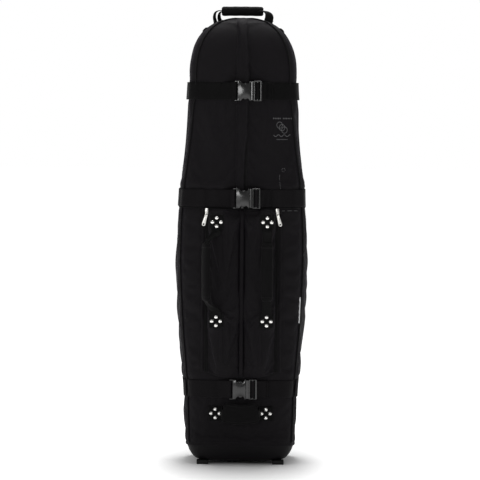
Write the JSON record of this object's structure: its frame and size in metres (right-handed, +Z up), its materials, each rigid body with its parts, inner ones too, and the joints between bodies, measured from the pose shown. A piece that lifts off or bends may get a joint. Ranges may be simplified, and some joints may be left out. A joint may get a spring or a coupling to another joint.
{
  "type": "golf travel case",
  "caption": "Soft-sided wheeled golf travel case standing upright, with a padded hood, compression straps, shoe pockets and carry handles",
  "frame": {"origin": "centre of the case's bounding box, on the floor", "axes": "+Z up along the case's length, -Y out of the front with the handles and buckles, X across"},
  "size_m": [0.37, 0.384, 1.312],
  "materials": {
    "body_fabric": "near-black woven ballistic nylon, matt with a faint sheen",
    "webbing": "black woven polypropylene webbing, slightly glossy ribs",
    "handle_wrap": "black padded fabric wrap",
    "zip_tape": "black zip tape with coil teeth",
    "piping_cord": "black corded piping",
    "boot_plastic": "black moulded plastic, fine grain",
    "stiffener_board": "dark plastic board",
    "buckle_plastic": "black moulded acetal, semi-gloss",
    "feet_rubber": "black rubber",
    "tyre_rubber": "black polyurethane tread",
    "hub_plastic": "black moulded hub",
    "steel": "bare steel",
    "dark_metal": "black painted zip slider",
    "bright_metal": "bright nickel-plated rivets and zip pulls"
  },
  "bodies": {
    "case": {"base_boot": "boot_plastic", "stiffeners": "stiffener_board", "front_feet": "feet_rubber", "wheel_housings": "boot_plastic", "axle_bolts": "steel", "front_panel": "body_fabric", "side_panel_left": "body_fabric", "side_panel_right": "body_fabric", "back_panel": "body_fabric", "hood_rear": "body_fabric", "kick_plate": "boot_plastic", "piping": "piping_cord", "pocket_zips": "zip_tape", "back_straps": "webbing", "low_strap": "webbing", "low_buckle_female": "buckle_plastic", "bottom_rivets": "bright_metal"},
    "flap_left": {"flap_left": "body_fabric", "main_zip_left": "zip_tape", "zip_cover": "body_fabric", "flap_left_straps": "webbing", "top_buckle_female": "buckle_plastic", "mid_buckle_female": "buckle_plastic"},
    "flap_right": {"flap_right": "body_fabric", "main_zip_right": "zip_tape", "flap_right_straps": "webbing"},
    "main_slider": {"main_slider": "dark_metal"},
    "main_pull": {"main_pull": "dark_metal"},
    "pocket_left": {"pocket_panel_left": "body_fabric", "pocket_rivets_left": "bright_metal"},
    "pocket_right": {"pocket_panel_right": "body_fabric", "pocket_rivets_right": "bright_metal"},
    "carry_left": {"carry_strap_left": "webbing", "carry_grip_left": "handle_wrap"},
    "carry_right": {"carry_strap_right": "webbing", "carry_grip_right": "handle_wrap"},
    "bottom_handle": {"bottom_handle_strap": "webbing", "bottom_handle_grip": "handle_wrap"},
    "top_handle": {"top_handle_straps": "webbing", "top_handle_grip": "handle_wrap"},
    "wheel_left": {"wheel_tyre_left": "tyre_rubber", "wheel_hub_left": "hub_plastic", "wheel_bearings_left": "steel"},
    "wheel_right": {"wheel_tyre_right": "tyre_rubber", "wheel_hub_right": "hub_plastic", "wheel_bearings_right": "steel"},
    "pocket_slider_left": {"pocket_slider_left": "bright_metal"},
    "pocket_pull_left": {"pocket_pull_left": "bright_metal"},
    "pocket_slider_right": {"pocket_slider_right": "bright_metal"},
    "pocket_pull_right": {"pocket_pull_right": "bright_metal"},
    "top_male": {"top_buckle_male": "buckle_plastic"},
    "top_prong_upper": {"top_prong_upper": "buckle_plastic"},
    "top_prong_lower": {"top_prong_lower": "buckle_plastic"},
    "mid_male": {"mid_buckle_male": "buckle_plastic"},
    "mid_prong_upper": {"mid_prong_upper": "buckle_plastic"},
    "mid_prong_lower": {"mid_prong_lower": "buckle_plastic"},
    "low_male": {"low_buckle_male": "buckle_plastic"},
    "low_prong_upper": {"low_prong_upper": "buckle_plastic"},
    "low_prong_lower": {"low_prong_lower": "buckle_plastic"}
  },
  "joints": [
    {"name": "flap_left_hinge", "type": "hinge", "parent": "case", "child": "flap_left", "pos_m": [-0.184, -0.02, 0.738], "axis": [-0.0703, 0, -0.9975], "range_deg": [0, 100]},
    {"name": "flap_right_hinge", "type": "hinge", "parent": "case", "child": "flap_right", "pos_m": [0.184, -0.02, 0.738], "axis": [-0.0703, 0, 0.9975], "range_deg": [0, 100]},
    {"name": "main_slider_slide", "type": "slide", "parent": "flap_left", "child": "main_slider", "axis": [0, 0.0545, 0.9985], "range_m": [0, 0.25]},
    {"name": "main_pull_hinge", "type": "hinge", "parent": "main_slider", "child": "main_pull", "pos_m": [0, -0.1294, 0.749], "axis": [0, 1, 0], "range_deg": [-60, 60]},
    {"name": "pocket_left_hinge", "type": "hinge", "parent": "case", "child": "pocket_left", "pos_m": [-0.0025, -0.1255, 0.49], "axis": [0, 0, 1], "range_deg": [0, 25]},
    {"name": "pocket_right_hinge", "type": "hinge", "parent": "case", "child": "pocket_right", "pos_m": [0.0025, -0.1255, 0.49], "axis": [0, 0, -1], "range_deg": [0, 25]},
    {"name": "carry_left_hinge", "type": "hinge", "parent": "pocket_left", "child": "carry_left", "pos_m": [-0.072, -0.158, 0.556], "axis": [0, 0, 1], "range_deg": [-25, 75]},
    {"name": "carry_right_hinge", "type": "hinge", "parent": "pocket_right", "child": "carry_right", "pos_m": [0.072, -0.158, 0.556], "axis": [0, 0, 1], "range_deg": [-50, 75]},
    {"name": "bottom_handle_hinge", "type": "hinge", "parent": "case", "child": "bottom_handle", "pos_m": [0, -0.125, 0.149], "axis": [1, 0, 0], "range_deg": [-35, 35]},
    {"name": "top_handle_hinge", "type": "hinge", "parent": "case", "child": "top_handle", "pos_m": [0, 0, 1.268], "axis": [1, 0, 0], "range_deg": [-10, 10]},
    {"name": "wheel_left_spin", "type": "hinge", "parent": "case", "child": "wheel_left", "pos_m": [-0.1, 0.16, 0.032], "axis": [1, 0, 0], "continuous": true},
    {"name": "wheel_right_spin", "type": "hinge", "parent": "case", "child": "wheel_right", "pos_m": [0.1, 0.16, 0.032], "axis": [1, 0, 0], "continuous": true},
    {"name": "pocket_slider_left_slide", "type": "slide", "parent": "case", "child": "pocket_slider_left", "axis": [0, 0.0054, -1], "range_m": [0, 0.43]},
    {"name": "pocket_pull_left_hinge", "type": "hinge", "parent": "pocket_slider_left", "child": "pocket_pull_left", "pos_m": [-0.101, -0.13466, 0.72], "axis": [-1, 0, 0], "range_deg": [0, 90]},
    {"name": "pocket_slider_right_slide", "type": "slide", "parent": "case", "child": "pocket_slider_right", "axis": [0, 0.0054, -1], "range_m": [0, 0.43]},
    {"name": "pocket_pull_right_hinge", "type": "hinge", "parent": "pocket_slider_right", "child": "pocket_pull_right", "pos_m": [0.101, -0.13466, 0.72], "axis": [-1, 0, 0], "range_deg": [0, 90]},
    {"name": "top_buckle_slide", "type": "slide", "parent": "flap_right", "child": "top_male", "axis": [1, 0, 0], "range_m": [0, 0.035]},
    {"name": "top_prong_upper_flex", "type": "hinge", "parent": "top_male", "child": "top_prong_upper", "pos_m": [0.0196, -0.1234, 1.08528], "axis": [0, -0.9991, 0.0423], "range_deg": [0, 8], "stiffness_Nm_per_rad": 0.5},
    {"name": "top_prong_lower_flex", "type": "hinge", "parent": "top_male", "child": "top_prong_lower", "pos_m": [0.0196, -0.12476, 1.05331], "axis": [0, 0.9991, -0.0423], "range_deg": [0, 8], "stiffness_Nm_per_rad": 0.5},
    {"name": "mid_buckle_slide", "type": "slide", "parent": "flap_right", "child": "mid_male", "axis": [1, 0, 0], "range_m": [0, 0.035]},
    {"name": "mid_prong_upper_flex", "type": "hinge", "parent": "mid_male", "child": "mid_prong_upper", "pos_m": [0.0176, -0.14034, 0.78021], "axis": [0, -0.9995, 0.0308], "range_deg": [0, 8], "stiffness_Nm_per_rad": 0.5},
    {"name": "mid_prong_lower_flex", "type": "hinge", "parent": "mid_male", "child": "mid_prong_lower", "pos_m": [0.0176, -0.14132, 0.74822], "axis": [0, 0.9995, -0.0308], "range_deg": [0, 8], "stiffness_Nm_per_rad": 0.5},
    {"name": "low_buckle_slide", "type": "slide", "parent": "case", "child": "low_male", "axis": [1, 0, 0], "range_m": [0, 0.035]},
    {"name": "low_prong_upper_flex", "type": "hinge", "parent": "low_male", "child": "low_prong_upper", "pos_m": [0.0116, -0.13141, 0.23492], "axis": [0, -0.9999, -0.0116], "range_deg": [0, 8], "stiffness_Nm_per_rad": 0.5},
    {"name": "low_prong_lower_flex", "type": "hinge", "parent": "low_male", "child": "low_prong_lower", "pos_m": [0.0116, -0.13103, 0.20292], "axis": [0, 0.9999, 0.0116], "range_deg": [0, 8], "stiffness_Nm_per_rad": 0.5}
  ],
  "couplings": [
    {"joint": "flap_right_hinge", "follows": "flap_left_hinge", "ratio": 1},
    {"joint": "top_prong_lower_flex", "follows": "top_prong_upper_flex", "ratio": 1},
    {"joint": "mid_prong_lower_flex", "follows": "mid_prong_upper_flex", "ratio": 1},
    {"joint": "low_prong_lower_flex", "follows": "low_prong_upper_flex", "ratio": 1}
  ]
}
